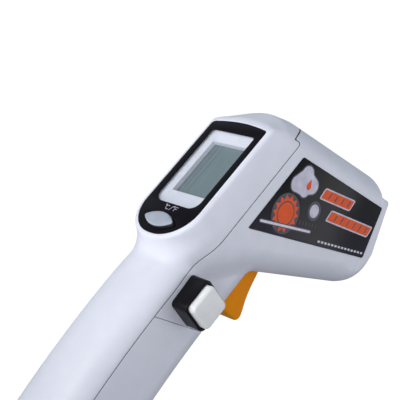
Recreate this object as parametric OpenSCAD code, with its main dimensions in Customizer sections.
// Pistol-grip infrared thermometer, in millimetres.
// +X is the way the nose points, +Y is the user's left and +Z is up.
// The origin is the centre of the flat base of the grip.

/* [Body] */
// Lean of the display face and of the grip from upright, in degrees
tilt = 23; // [20:0.5:25]
// Width of the barrel across its cheeks
barrel_w = 39; // [38:0.5:41]
// Height of the middle of the display above the base
face_z = 118; // [116:1:124]
// Middle of the display in front of the middle of the base
face_x = 19; // [18:0.5:20]
// Wall thickness of the housings
wall = 2.2; // [1.8:0.1:2.6]
// Gap where the two housings and the battery door meet
seam = 0.3; // [0.3:0.05:0.5]

/* [Barrel] */
// Height of the ridge above the middle of the display
ridge_z = 34.6; // [34:0.2:36]
// Radius of the hump that runs along the top
hump_r = 24.3; // [24:0.1:25]
// Height of the soft edge between cheek and hump
crease_z = 24.8; // [24:0.1:25]
// Top of the nose face ahead of the display
nose_x = 98.7; // [96:0.1:101]
// Backward lean of the nose face, in degrees
nose_lean = 4.6; // [3:0.1:5]
// Rise of the barrel's underside towards the nose, per millimetre
belly_rise = 0.218; // [0.2:0.002:0.23]
// Radius of the barrel's lower edges
belly_r = 11; // [9:0.5:12]

/* [Display] */
// Half width of the black panel
panel_half_w = 15.7; // [15.5:0.1:16]
// Width of the window
window_w = 24; // [22:0.5:25]
// Height of the window
window_h = 40; // [38:0.5:41]
// Thickness of the black panel
panel_t = 1; // [0.8:0.1:1.2]
// Length of the unit button
button_l = 15.9; // [15:0.1:17]
// Height of the unit button
button_h = 6.9; // [6.5:0.1:7.2]

/* [Grip] */
// Half width of the grip
grip_half_w = 16; // [15.5:0.1:16.5]
// Depth of the rounded back of the grip behind the parting line
grip_back = 9.6; // [9:0.1:10]
// Depth from the display plane to the front of the grip
grip_front = 45.1; // [44:0.1:46]
// Depth from the display plane to the parting line
part_w = 15; // [14.5:0.1:15.5]
// Radius of the gentle forward bow of the grip
bow_r = 441; // [400:1:600]
// Height of the top edge of the battery door, from the display
door_top_z = -61.6; // [-62:0.1:-61]

/* [Controls] */
// Width of the trigger
trigger_w = 11; // [10:0.5:11.5]
// Side of the square switch housing
switch_side = 15.6; // [15.2:0.1:15.8]
// Side of the square switch cap
cap_side = 13.2; // [12.4:0.1:13.4]

/* [Optics] */
// Radius of the sensor port
port_r = 9; // [8:0.5:9.5]
// Height of the sensor port's axis, from the display
port_z = 8; // [7:0.5:9]
// Height of the laser's axis, from the display
laser_z = -7; // [-8:0.5:-6]

/* [Hidden] */

$fn = 48;
sin_t = sin(tilt);
cos_t = cos(tilt);
half_w = barrel_w / 2;
hump_z = ridge_z - hump_r;
base_z = -face_z;
skin = 0.01; // thickness of the slices that the hulls join

// Display panel outline: a U with a gently arched top
u_x = 0.8;
u_z = -20.5;
u_r = panel_half_w - u_x;
corner_r = 1.5;
corner_z = 23.1;
arch_r = 67;
arch_z = 26.1 - arch_r;

// Nose corner, in the frame of the leaning nose face
nose_top_z = 25;
nose_corner_r = 12;
nose_corner_z = -30.7;
nose_edges = [[-9.5, 0], [-7, 0], [-4, 0], [-1.8, 0], [-0.6, 0.4], [0, 1.5]];

// Head sections: depth, growth of the panel outline, and then inset and drop from the hump
brow_w = 7.5;
head_rows = [0, 0.35, 1.1, brow_w, part_w];
head_grow = [0.9, 1.5, 1.9];
head_in = [0, 0, 0, 0.75, 0.1];
head_drop = [0, 0, 0, 1.3, 0];

// Depths inside the head, measured from the display plane
ledge_w = 3.8;
glass_w = 4.2;
glass_t = 2;
pcb_w = 10;
pcb_t = 1.6;
lcd_mid = 2.25;
lcd_z = 1.8; // middle of the opening over the glass

// Unit button's centre on the display face, and how far it stands out
button_z = -29;
button_proud = 1.7;

// Trigger pivot and travel, in the barrel's frame
pivot = [44, -22.5];
pin_r = 1.25;
run_gap = 0.05;

// Side switch, in the grip's frame
switch_mid = [25, -44.6];
switch_seat = 15.15;
switch_rim = 24;
cap_y = -27;
cap_ledge = 15.8;

// Battery door: rise of its top edge towards the front, per millimetre, and its hinge
door_rise = 0.04;
hinge_r = 4.4;
hinge_pin_r = 1.2;
hinge = [-21.7, base_z + hinge_r];
lug_y = 7;

// Battery, a 9 V block
battery_size = [26.5, 17.5, 46];
battery_w = 14.6;
battery_d = -107;

shell_white = [0.86, 0.87, 0.89];
gloss_black = [0.05, 0.05, 0.07];

// ---- Frames ----

// The barrel's frame: origin at the middle of the display, axes as the whole
module at_face() {
  translate([face_x, 0, face_z]) children();
}

// The display's frame: X goes into the body, Y is left, Z runs up the display face
module in_tilt() {
  at_face() rotate([0, tilt, 0]) children();
}

// Draws a (Y, Z) outline as a slice at x, t thick towards +X
module slice(x, t = skin) {
  translate([x, 0, 0]) rotate([90, 0, 90]) linear_extrude(t) children();
}

// Extrudes an (X, Z) outline from y0 to y1
module across(y0, y1) {
  translate([0, y1, 0]) rotate([90, 0, 0]) linear_extrude(y1 - y0) children();
}

// Radius of an n-sided hole that clears a round pin of radius r
function round_hole(r, n) = r / cos(180 / n) + 0.005;

// ---- Outlines ----

function arc(c, r, a0, a1, n) =
  [for (i = [0 : n]) let (a = a0 + (a1 - a0) * i / n) [c[0] + r * cos(a), c[1] + r * sin(a)]];

// Closes a right-hand half outline, which runs upwards, with its mirror image
function both(half) = concat(half, [for (i = [len(half) - 1 : -1 : 0]) [-half[i][0], half[i][1]]]);

function rounded(w, h, r, n = 4) = concat(
  arc([w / 2 - r, h / 2 - r], r, 0, 90, n), arc([r - w / 2, h / 2 - r], r, 90, 180, n),
  arc([r - w / 2, r - h / 2], r, 180, 270, n), arc([w / 2 - r, r - h / 2], r, 270, 360, n));

// Outline of the display panel, grown by o
function panel_half(o) = concat(
  arc([u_x, u_z], u_r + o, -90, 0, 8),
  arc([panel_half_w - corner_r, corner_z], corner_r + o, 0, 76, 3),
  arc([0, arch_z], arch_r + o, 78, 87, 3));

// Top of the hump over the point y, on the plane that lies w behind the display
function crest(y, w) = (hump_z + sqrt(hump_r * hump_r - y * y) + w * sin_t) / cos_t;

// Outline of the head on the plane of the parting line
function crest_half(w, in, drop) = concat(
  arc([u_x, u_z], half_w - u_x - in, -90, 0, 8),
  [[half_w - in, (crease_z + w * sin_t) / cos_t - drop / 2]],
  [for (y = [17.5 : -2.5 : 2.5]) [y, crest(y, w) - drop]]);

// Lower body and hump of the barrel on an upright plane
function belly(x) = -25.2 + belly_rise * (x - 60);
function low_half(zb, w, r, top) =
  concat(arc([w - r, zb + r], r, -90, 0, 6), arc([w - 1, top - 1], 1, 0, 90, 2));
function hump_half(in) = concat(
  [[half_w - in - 0.1, crease_z - 6], [half_w - in - 0.1, crease_z - in]],
  [for (a = [43.5 : 6.5 : 89]) [(hump_r - in) * cos(a), hump_z + (hump_r - in) * sin(a)]]);

// Lens shape of the unit button: two equal arcs
function lens(o) = let (
    a = button_l / 2 + o, b = button_h / 2 + o, r = (a * a + b * b) / (2 * b), t = asin(a / r))
  [for (side = [0, 180], i = [0 : 11]) let (q = 90 - t + 2 * t * i / 12 + side)
    [r * cos(q), r * sin(q) + (side == 0 ? b - r : r - b)]];

// The grip's forward bow at height d, and its section there
function bow(d) = pow(max(0, -50 - d), 2) / (2 * bow_r);
function grip_w(d) = grip_half_w - 0.8 * max(0, min(1, (d + 51) / 16));
function grip_outline(d) = let (
    mid = part_w + bow(d), front = grip_front + bow(d) + 0.02 * max(0, -50 - d), w = grip_w(d))
  concat(
    [for (a = [-80 : 16 : 80]) [mid - grip_back * cos(a), w * sin(a)]],
    [[mid, w]], arc([front - 9, w - 9], 9, 90, 0, 5),
    arc([front - 9, 9 - w], 9, 0, -90, 5), [[mid, -w]]);

// A point of the display's frame in the barrel's frame
function to_barrel(w, d) = [w * cos_t + d * sin_t, d * cos_t - w * sin_t];

// The parting line between rear and front housings, top first, shifted by s
function parting(s) = concat(
  [[44 + 1.8 * s, 39], [23.6 + 2.7 * s, 25.4 + 0.6 * s], to_barrel(part_w + s, 33.4 + 1.3 * s)],
  [for (d = [-50 : -11 : -138]) to_barrel(part_w + bow(d) + s, d)]);

// ---- Solids shared by the housings ----

// Head: from the rim of the display face, over the brow, to the plane of the parting line
module head_slice(i, t) {
  w = head_rows[i];
  if (w == part_w) {
    slice(w - 0.5, 1) offset(delta = -t) polygon(both(crest_half(w, head_in[i], 0)));
  } else if (w < brow_w) {
    slice(t > 0 ? max(w, ledge_w) : w) offset(delta = -t) polygon(both(panel_half(head_grow[i])));
  } else {
    slice(w) offset(delta = -t) polygon(both(crest_half(w, head_in[i], head_drop[i])));
  }
}

module head(t) {
  for (i = [t > 0 ? 3 : 1 : len(head_rows) - 1]) {
    hull() {
      head_slice(i - 1, t);
      head_slice(i, t);
    }
  }
}

module low_slice(x, t) {
  slice(x) offset(delta = -t) polygon(both(low_half(belly(x), half_w, belly_r, nose_top_z)));
}

// One slice of the nose, in the frame of its leaning face; e is [x, inset]
module nose_slice(e, t) {
  zb = nose_corner_z - sqrt(pow(nose_corner_r, 2) - pow(e[0] + nose_corner_r, 2));
  translate([nose_x, 0, nose_top_z]) rotate([0, -nose_lean, 0]) slice(e[0])
    offset(delta = -t) polygon(both(low_half(zb, half_w - e[1], belly_r, 0.2 - e[1])));
}

// Barrel: lower body with the nose, and the hump along its top
module barrel(t) {
  hull() {
    rotate([0, tilt, 0]) head_slice(4, t);
    low_slice(34, t);
    slice(34) offset(delta = -t) polygon(both(hump_half(0)));
  }
  hull() {
    low_slice(34, t);
    low_slice(84, t);
  }
  hull() {
    low_slice(84, t);
    nose_slice(nose_edges[0], t);
  }
  last = t > 0 ? 0 : len(nose_edges) - 1;
  for (i = [1 : 1 : last]) {
    hull() {
      nose_slice(nose_edges[i - 1], t);
      nose_slice(nose_edges[i], t);
    }
  }
  hull() {
    slice(34) offset(delta = -t) polygon(both(hump_half(0)));
    slice(91.6 - t) offset(delta = -t) polygon(both(hump_half(0)));
    slice(92.6 - t) offset(delta = -t) polygon(both(hump_half(0.5)));
    slice(93 - t) offset(delta = -t) polygon(both(hump_half(1.2)));
  }
}

// Grip: a chain of sections down the display's frame
module grip(t) {
  rows = [-8, -35, -43, -51, -66, -78, -90, -102, -114, -128];
  for (i = [1 : len(rows) - 1]) {
    hull() {
      for (d = [rows[i - 1], rows[i]]) {
        translate([0, 0, d]) linear_extrude(skin) offset(delta = -t) polygon(grip_outline(d));
      }
    }
  }
}

module body_solid(t) {
  floor_z = base_z + (t > 0 ? t + 0.3 : 0);
  intersection() {
    union() {
      rotate([0, tilt, 0]) {
        head(t);
        grip(t);
      }
      barrel(t);
    }
    translate([-100, -50, floor_z]) cube([250, 100, 250]);
  }
}

module shell() {
  difference() {
    body_solid(0);
    body_solid(wall);
  }
}

module behind_parting(s) {
  across(-40, 40) polygon(concat([[-90, -190], [-90, 60], [44 + 1.8 * s, 60]], parting(s)));
}

// The body's space between the battery door's top edge, moved by s, and the height far
module beside_door_line(s, far) {
  function height(x) = door_top_z + door_rise * (x + 9.5) + s;
  across(-50, 50) polygon([[-100, height(-100)], [150, height(150)], [150, far], [-100, far]]);
}

// ---- Housings ----

pcb_bosses = [for (y = [-13.9, 13.9], d = [-18, 19]) [y, d]];
tab_w = part_w + 0.6;
tab_t = 2.4;
screw_y = 10.5;
screw_d = -64;

module rear_housing() {
  color(shell_white) at_face() {
    difference() {
      union() {
        intersection() {
          shell();
          behind_parting(-seam / 2);
        }
        rotate([0, tilt, 0]) {
          for (p = pcb_bosses) {
            translate([ledge_w - 0.5, p[0], p[1]]) rotate([0, 90, 0])
              cylinder(r = 1.8, h = pcb_w - ledge_w + 0.5, $fn = 24);
          }
          for (s = [-1, 1]) {
            translate([9.5, s * screw_y, screw_d]) rotate([0, 90, 0])
              cylinder(r = 1.9, h = part_w - 9.5, $fn = 24);
          }
        }
        // lugs that carry the door's hinge pin
        intersection() {
          for (s = [-1, 1]) {
            across(s * lug_y - 1.2, s * lug_y + 1.2) hull() {
              translate(hinge) circle(r = 3.2, $fn = 24);
              translate([hinge[0] - 9, base_z + 1.5]) square([2, 12]);
            }
          }
          body_solid(1);
        }
      }
      // seat of the display panel, the funnel round the display, and the button's hole
      rotate([0, tilt, 0]) {
        slice(-1, 1.2 + panel_t) polygon(both(panel_half(0.15)));
        hull() {
          slice(0.2 + panel_t) polygon(rounded(window_w + 1, window_h + 1, 2));
          slice(2) translate([0, lcd_z]) polygon(rounded(18.3, 27, 0.6));
        }
        slice(1.9, 3.6) translate([0, lcd_z]) polygon(rounded(18.3, 27, 0.6));
        slice(1, 4) translate([0, button_z]) polygon(lens(0.4));
        for (p = pcb_bosses) {
          translate([5, p[0], p[1]]) rotate([0, 90, 0]) cylinder(r = 0.95, h = 10, $fn = 24);
        }
        for (s = [-1, 1]) {
          translate([11.6, s * screw_y, screw_d]) rotate([0, 90, 0])
            cylinder(r = 1.15, h = 10, $fn = 24);
        }
      }
      across(-20, 20) translate(hinge) circle(r = round_hole(hinge_pin_r, 32), $fn = 32);
    }
  }
}

module front_housing() {
  color(shell_white) at_face() {
    difference() {
      union() {
        difference() {
          shell();
          behind_parting(seam / 2);
          beside_door_line(0, base_z - 1);
        }
        // ears that carry the trigger's pin
        intersection() {
          union() {
            for (s = [-1, 1]) {
              across(s * 9 - 1, s * 9 + 1) polygon([
                [pivot[0] - 4.5, -31.5], [pivot[0] + 4.5, -31.5],
                [pivot[0] + 4, pivot[1] + 3.4], [pivot[0] - 4, pivot[1] + 3.4]]);
            }
            // shelf that the trigger's switch hangs from
            translate([24, -30, -18]) cube([10, 60, 2]);
          }
          body_solid(1);
        }
        // tabs that the housing screws pull on
        rotate([0, tilt, 0]) for (s = [-1, 1]) {
          translate([tab_w, s * 11.1 - 2.2, -67]) cube([tab_t, 4.4, 15]);
          translate([tab_w + 0.3, s * 13.5 - 1.5, -59]) cube([tab_t - 0.6, 3, 8]);
        }
      }
      across(-10.1, 10.1) translate(pivot) circle(r = round_hole(pin_r, 32), $fn = 32);
      // slot that the trigger swings in
      translate([24, -trigger_w / 2 - 0.5, -53.5]) cube([25.2, trigger_w + 1, 30]);
      // seat of the nose panel and the opening behind it
      slice(93.5, 9) translate([0, 5.2]) polygon(rounded(32.3, 33.8, 6.1));
      slice(85, 9) translate([0, 5.2]) polygon(rounded(29.8, 31.3, 5));
      translate([85, 0, laser_z]) rotate([0, 90, 0]) cylinder(r = 4.4, h = 9, $fn = 32);
      // opening and flat seat for the side switch
      rotate([0, tilt, 0]) translate([switch_mid[0], 0, switch_mid[1]]) rotate([90, 0, 0]) {
        translate([0, 0, 10]) linear_extrude(9) polygon(rounded(12.4, 12.4, 1.2));
        translate([0, 0, switch_seat - 0.05]) linear_extrude(5)
          polygon(rounded(switch_side + 0.1, switch_side + 0.1, 2));
      }
      rotate([0, tilt, 0]) for (s = [-1, 1]) {
        translate([part_w, s * screw_y, screw_d]) rotate([0, 90, 0])
          cylinder(r = 1.35, h = 9, $fn = 24);
      }
    }
  }
}

rib_rows = [-53.5, -65.1, -76.8, -88.5, -100.2];
rib_proud = 0.9;

module battery_door() {
  color(shell_white) at_face() {
    intersection() {
      union() {
        difference() {
          union() {
            shell();
            // moulded ribs across the front, for the fingers
            rotate([0, tilt, 0]) intersection() {
              for (d = rib_rows) {
                hull() {
                  translate([0, 0, d - 0.9]) linear_extrude(1.8) polygon(grip_outline(d));
                  translate([rib_proud, 0, d - 0.2]) linear_extrude(0.4)
                    polygon(grip_outline(d));
                }
              }
              translate([38, -12, -130]) cube([20, 24, 100]);
            }
          }
          behind_parting(seam / 2);
          body_solid(wall);
          beside_door_line(-seam, 90);
          // clearance round the hinge's corner
          difference() {
            translate([hinge[0] - 20, -40, base_z - 5]) cube([20, 80, 7.6 + hinge_r]);
            across(-40, 40) translate(hinge) circle(r = hinge_r, $fn = 48);
          }
        }
        // knuckles on the hinge pin
        intersection() {
          for (s = [-1, 1]) {
            across(s * 11.6 - 2.4, s * 11.6 + 2.4) hull() {
              translate(hinge) circle(r = 3, $fn = 24);
              translate([hinge[0] + 2, base_z + 1]) square([4, 2.4]);
            }
          }
          body_solid(1);
        }
      }
      difference() {
        translate([-100, -50, base_z]) cube([250, 100, 200]);
        across(-14.5, 14.5) translate(hinge) circle(r = hinge_pin_r + 0.08, $fn = 64);
        // room for the rear housing's lugs
        for (s = [-1, 1]) {
          across(s * lug_y - 1.7, s * lug_y + 1.7) translate([hinge[0] - 9, base_z - 1])
            square([12.7, 11]);
        }
      }
    }
  }
}

module door_hinge_pin() {
  color("silver") at_face() across(-13.5, 13.5) translate(hinge) circle(r = hinge_pin_r);
}

// ---- Display ----

module bezel_panel() {
  color(gloss_black) in_tilt() difference() {
    slice(0.2, panel_t) polygon(both(panel_half(0)));
    slice(-1, 4) polygon(window_outline(0));
    slice(-1, 4) translate([0, button_z]) polygon(lens(0.35));
  }
}

// The window has small upper and larger lower corners
function window_outline(o) = let (w = window_w / 2 + o, h = window_h / 2 + o) concat(
  arc([w - 1.5, h - 1.5], 1.5, 0, 90, 4), arc([1.5 - w, h - 1.5], 1.5, 90, 180, 4),
  arc([4.5 - w, 4.5 - h], 4.5, 180, 270, 6), arc([w - 4.5, 4.5 - h], 4.5, 270, 360, 6));

module display_window() {
  color([0.8, 0.85, 0.85, 0.3]) in_tilt() slice(0.3, panel_t - 0.2) polygon(window_outline(-0.05));
}

module lcd_glass() {
  color([0.44, 0.52, 0.53]) in_tilt() translate([0, 0, lcd_mid]) {
    slice(glass_w, glass_t / 2) polygon(rounded(21, 31, 0.3, 1));
    slice(glass_w + glass_t / 2, glass_t / 2) polygon(rounded(21, 28, 0.3, 1));
  }
}

module lcd_frame() {
  color([0.9, 0.9, 0.88]) in_tilt() translate([0, 0, lcd_mid]) difference() {
    slice(ledge_w + 0.3, pcb_w - ledge_w - 0.4) polygon(rounded(23.4, 33.6, 1));
    slice(ledge_w, pcb_w - ledge_w) polygon(rounded(21.3, 31.3, 0.4));
  }
}

module zebra_strips() {
  color([0.85, 0.55, 0.6]) in_tilt() for (d = [-12.3, 15.6]) {
    slice(glass_w + glass_t + 0.05, pcb_w - glass_w - glass_t - 0.1)
      translate([0, d]) square([19, 1.8], center = true);
  }
}

// ---- Electronics ----

module main_pcb() {
  color([0.05, 0.35, 0.15]) in_tilt() difference() {
    slice(pcb_w, pcb_t) polygon(both([[10.5, -32.5], [10.5, -28.5], [15.6, -20.5], [15.6, 21.5]]));
    for (p = pcb_bosses) {
      translate([pcb_w - 1, p[0], p[1]]) rotate([0, 90, 0]) cylinder(r = 0.95, h = 4);
    }
  }
}

module pcb_components() {
  back = pcb_w + pcb_t;
  color([0.12, 0.12, 0.13]) in_tilt() {
    translate([back, -5, -3]) cube([1.8, 10, 10]);
    translate([back, 4, 11]) cube([1.4, 5, 4]);
    translate([back, -10, 12]) cube([3.2, 4, 8]);
    translate([back, -4, -24]) rotate([0, 90, 0]) cylinder(r = 2.5, h = 5);
    translate([back, 6, -18]) rotate([0, 90, 0]) cylinder(r = 2, h = 5);
    for (i = [0 : 4]) {
      translate([back, -9 + 3 * i, -12]) cube([0.8, 1.2, 2]);
    }
  }
}

module pcb_screws() {
  color("silver") in_tilt() for (p = pcb_bosses) {
    translate([pcb_w + pcb_t, p[0], p[1]]) rotate([0, 90, 0]) cylinder(r = 1.6, h = 1.1);
    translate([6, p[0], p[1]]) rotate([0, 90, 0]) cylinder(r = 0.9, h = pcb_w + pcb_t - 6);
  }
}

module housing_screws() {
  head_w = tab_w + tab_t;
  color("silver") in_tilt() for (s = [-1, 1]) {
    translate([head_w, s * screw_y, screw_d]) rotate([0, 90, 0]) cylinder(r = 1.55, h = 1.3);
    translate([12, s * screw_y, screw_d]) rotate([0, 90, 0]) cylinder(r = 1.1, h = head_w - 12);
  }
}

// ---- Unit button ----

module unit_button() {
  color([0.72, 0.75, 0.78]) in_tilt() translate([0, 0, button_z]) {
    slice(-button_proud, 0.5) polygon(lens(-0.7));
    slice(0.5 - button_proud, 0.5) polygon(lens(-0.2));
    slice(1 - button_proud, ledge_w + button_proud - 0.8) polygon(lens(0));
    slice(ledge_w + 0.2, 1) polygon(lens(1));
  }
}

module unit_switch() {
  color([0.2, 0.2, 0.22]) in_tilt() translate([0, 0, button_z]) {
    slice(pcb_w - 3.2, 3.2) square(6, center = true);
    translate([pcb_w - 3.8, 0, 0]) rotate([0, 90, 0]) cylinder(r = 1.6, h = 0.6);
  }
}

// ---- Trigger ----

module trigger() {
  hub = 4;
  profile = concat(
    arc(pivot, hub, 130, 20, 6),
    [[48.3, -24.5], [48.3, -29], [47.5, -34], [47.2, -38], [47.3, -42], [47.9, -46.5]],
    arc([45.1, -48.5], 3, 10, -95, 6),
    [[36, -49.2], [27.2, -47.1], [26.2, -46], [32.4, -33], [37.6, -25.6]]);
  color([0.9, 0.5, 0.02]) at_face() difference() {
    across(-trigger_w / 2, trigger_w / 2) polygon(profile);
    across(-20, 20) translate(pivot) circle(r = pin_r + run_gap);
    // hollow behind the finger face
    across(-trigger_w / 2 + 1.8, trigger_w / 2 - 1.8)
      polygon([[20, -44], [33, -46.5], [42, -45], [43, -33], [40, -29], [30, -25]]);
  }
}

module trigger_pin() {
  color("silver") at_face() across(-10, 10) translate(pivot) circle(r = pin_r);
}

// A round wire swept along the points; each ring lies square to the path
module wire(path, r, sides = 8) {
  n = len(path);
  function unit(v) = v / norm(v);
  function along(i) = unit(path[min(n - 1, i + 1)] - path[max(0, i - 1)]);
  side_ref = [0.13, 0.31, 0.94];
  points = [
    for (i = [0 : n - 1]) let (t = along(i), u = unit(cross(side_ref, t)), v = cross(t, u))
      for (k = [0 : sides - 1]) let (a = 360 * k / sides)
        path[i] + r * (u * cos(a) + v * sin(a))];
  sides_f = [
    for (i = [0 : n - 2], k = [0 : sides - 1]) let (k1 = (k + 1) % sides)
      [i * sides + k, i * sides + k1, (i + 1) * sides + k1, (i + 1) * sides + k]];
  ends = [[for (k = [sides - 1 : -1 : 0]) k], [for (k = [0 : sides - 1]) (n - 1) * sides + k]];
  polyhedron(points, concat(sides_f, ends), convexity = 6);
}

// Coil of the trigger's return spring, on its pin, with a leg at each end
module trigger_spring() {
  coil_r = 2.15;
  turns = 2.25;
  steps = 27;
  coil = [for (i = [0 : steps]) let (a = 205 + 360 * turns * i / steps)
    [pivot[0] + coil_r * cos(a), 5.95 + 1.6 * i / steps, pivot[1] + coil_r * sin(a)]];
  color("silver") at_face() wire(concat(
    [[34, 5.95, -28.6], [38, 5.95, -25.9]], coil, [[48.6, 7.55, -19], [50, 7.55, -14]]), 0.3, 6);
}

module trigger_switch() {
  color([0.1, 0.1, 0.12]) at_face() {
    translate([24, -2.9, -24.5]) cube([11, 5.8, 6.5]);
    translate([33, 0, -27.2]) cylinder(r = 0.8, h = 2.7, $fn = 24);
  }
}

// ---- Side switch ----

// The switch's own frame: Z points out of the grip's right side
module at_switch() {
  in_tilt() translate([switch_mid[0], 0, switch_mid[1]]) rotate([90, 0, 0]) children();
}

module side_switch_housing() {
  color([0.08, 0.08, 0.1]) at_switch() difference() {
    union() {
      translate([0, 0, switch_seat]) linear_extrude(switch_rim - 1 - switch_seat)
        polygon(rounded(switch_side, switch_side, 2));
      translate([0, 0, switch_rim - 1]) linear_extrude(1)
        polygon(rounded(switch_side - 0.5, switch_side - 0.5, 1.8));
      translate([0, 0, 10.6]) linear_extrude(switch_seat - 10.6)
        polygon(rounded(12, 12, 1));
    }
    translate([0, 0, 12]) linear_extrude(20) polygon(rounded(9.6, 9.6, 1));
    translate([0, 0, cap_ledge]) linear_extrude(20)
      polygon(rounded(cap_side + 0.6, cap_side + 0.6, 1.8));
  }
}

module side_switch_cap() {
  color([0.88, 0.89, 0.89]) at_switch() difference() {
    union() {
      translate([0, 0, cap_ledge + 1.8]) linear_extrude(-cap_y - cap_ledge - 2.6)
        polygon(rounded(cap_side, cap_side, 1.6));
      translate([0, 0, -cap_y - 0.8]) linear_extrude(0.8)
        polygon(rounded(cap_side - 1, cap_side - 1, 1.4));
    }
    translate([0, 0, 17]) cylinder(r = 4, h = 6.6);
  }
}

module side_switch_spring() {
  coil_r = 3;
  turns = 4.5;
  steps = 40;
  color("silver") at_switch() wire(
    [for (i = [0 : steps]) let (a = 360 * turns * i / steps)
      [coil_r * cos(a), coil_r * sin(a), 12.4 + 10.8 * i / steps]], 0.35, 6);
}

module side_switch_contacts() {
  color([0.8, 0.65, 0.3]) at_switch() for (x = [-3, 3]) {
    translate([x - 0.4, -1, 7]) cube([0.8, 2, 3.6]);
  }
}

// ---- Nose and optics, in the barrel's frame ----

module nose_panel() {
  color([0.06, 0.06, 0.08]) at_face() difference() {
    union() {
      slice(93.5, 2) translate([0, 5.2]) polygon(rounded(32, 33.5, 6));
      translate([93.5, 0, port_z]) rotate([0, 90, 0]) cylinder(r = port_r + 1.6, h = 3);
      translate([93.5, 0, laser_z]) rotate([0, 90, 0]) cylinder(r = 3.4, h = 2.6);
    }
    translate([90, 0, port_z]) rotate([0, 90, 0]) cylinder(r = port_r, h = 12);
    translate([90, 0, laser_z]) rotate([0, 90, 0]) cylinder(r = 2, h = 12);
  }
}

module sensor_holder() {
  color([0.1, 0.1, 0.11]) at_face() difference() {
    union() {
      translate([74, 0, port_z]) rotate([0, 90, 0]) cylinder(r = port_r + 1.4, h = 19.3);
      translate([80, 0, laser_z]) rotate([0, 90, 0]) cylinder(r = 4.2, h = 13.3);
      translate([82, -1.5, laser_z]) cube([8, 3, 8]);
    }
    translate([73, 0, port_z]) rotate([0, 90, 0]) cylinder(r = 4.7, h = 4);
    translate([76.9, 0, port_z]) rotate([0, 90, 0]) cylinder(r1 = 3.4, r2 = 7.8, h = 14.7);
    translate([91.5, 0, port_z]) rotate([0, 90, 0]) cylinder(r = 8.5, h = 3);
    translate([79, 0, laser_z]) rotate([0, 90, 0]) cylinder(r = 3.1, h = 16);
  }
}

module ir_sensor() {
  color("silver") at_face() translate([0, 0, port_z]) rotate([0, 90, 0]) {
    translate([0, 0, 72.2]) cylinder(r = 4.55, h = 4.5);
    translate([0, 0, 71.6]) cylinder(r = 5, h = 0.6);
    for (a = [45 : 90 : 315]) {
      rotate([0, 0, a]) translate([2.5, 0, 68.2]) cylinder(r = 0.25, h = 3.4, $fn = 16);
    }
  }
}

module fresnel_lens() {
  color([0.9, 0.92, 0.92, 0.6]) at_face() translate([91.7, 0, port_z]) rotate([0, 90, 0])
    cylinder(r = 8.4, h = 0.8);
}

module sensor_board() {
  color([0.05, 0.35, 0.15]) at_face() translate([68.8, 0, port_z]) difference() {
    translate([0, -11, -11]) cube([1.6, 22, 20]);
    for (a = [45 : 90 : 315]) {
      rotate([a, 0, 0]) translate([-1, 0, 2.5]) rotate([0, 90, 0])
        cylinder(r = 0.35, h = 4, $fn = 16);
    }
  }
}

module laser_module() {
  color([0.78, 0.6, 0.3]) at_face() translate([79.6, 0, laser_z]) rotate([0, 90, 0]) difference() {
    cylinder(r = 3, h = 13);
    translate([0, 0, 11.5]) cylinder(r = 1.4, h = 3);
  }
}

// Flat cable from the main board to the sensor's board
module sensor_cable() {
  top = [[27.4, 14], [33, 17.5], [50, 18.4], [62, 17.6], [68.7, 15.6]];
  low = [for (i = [len(top) - 1 : -1 : 0]) top[i] - [0, 0.8]];
  color([0.6, 0.6, 0.65]) at_face() across(-4, 4) polygon(concat(top, low));
}

// ---- Battery ----

module battery() {
  color([0.15, 0.2, 0.45]) in_tilt() translate([battery_w, 0, battery_d])
    linear_extrude(battery_size[2]) translate([battery_size[0] / 2, 0])
      polygon(rounded(battery_size[0], battery_size[1], 2));
}

battery_top = battery_d + battery_size[2];
stud_w = battery_w + battery_size[0] / 2;

module battery_terminals() {
  color("silver") in_tilt() {
    translate([stud_w - 6.35, 0, battery_top]) cylinder(r = 2.9, h = 2.4);
    translate([stud_w + 6.35, 0, battery_top]) cylinder(r = 3.6, h = 2.4, $fn = 6);
  }
}

module battery_snap() {
  color([0.08, 0.08, 0.08]) in_tilt() translate([stud_w, 0, battery_top + 2.45])
    linear_extrude(2.6) polygon(rounded(25, 13, 2));
}

lead_start = battery_top + 5.15;
lead_route = [
  [stud_w - 8, 0, lead_start], [stud_w - 8, 0, lead_start + 3], [18.6, 0, -50], [17, 0, -45],
  [16.2, 0, -39], [15.4, 0, -34], [14, 0, -31.5], [11.8, 0, -30.6]];

module battery_lead(y) {
  in_tilt() wire([for (p = lead_route) p + [0, y, 0]], 0.6, 8);
}

module battery_lead_red() {
  color("red") battery_lead(2);
}

module battery_lead_black() {
  color([0.05, 0.05, 0.05]) battery_lead(-2);
}

// ---- Labels ----

label_t = 0.3;
label_outline = [[16, -16], [93.7, -3.8], [94.1, 20.7], [31.3, 20.7]];

module label(y0) {
  at_face() across(y0, y0 + label_t) polygon(label_outline);
}

module label_right() {
  color(gloss_black) label(-half_w - label_t);
}

module label_left() {
  color(gloss_black) label(half_w);
}

rear_housing();
front_housing();
battery_door();
door_hinge_pin();
bezel_panel();
display_window();
lcd_glass();
lcd_frame();
zebra_strips();
main_pcb();
pcb_components();
pcb_screws();
housing_screws();
unit_button();
unit_switch();
trigger();
trigger_pin();
trigger_spring();
trigger_switch();
side_switch_housing();
side_switch_cap();
side_switch_spring();
side_switch_contacts();
nose_panel();
sensor_holder();
ir_sensor();
fresnel_lens();
sensor_board();
laser_module();
sensor_cable();
battery();
battery_terminals();
battery_snap();
battery_lead_red();
battery_lead_black();
label_right();
label_left();
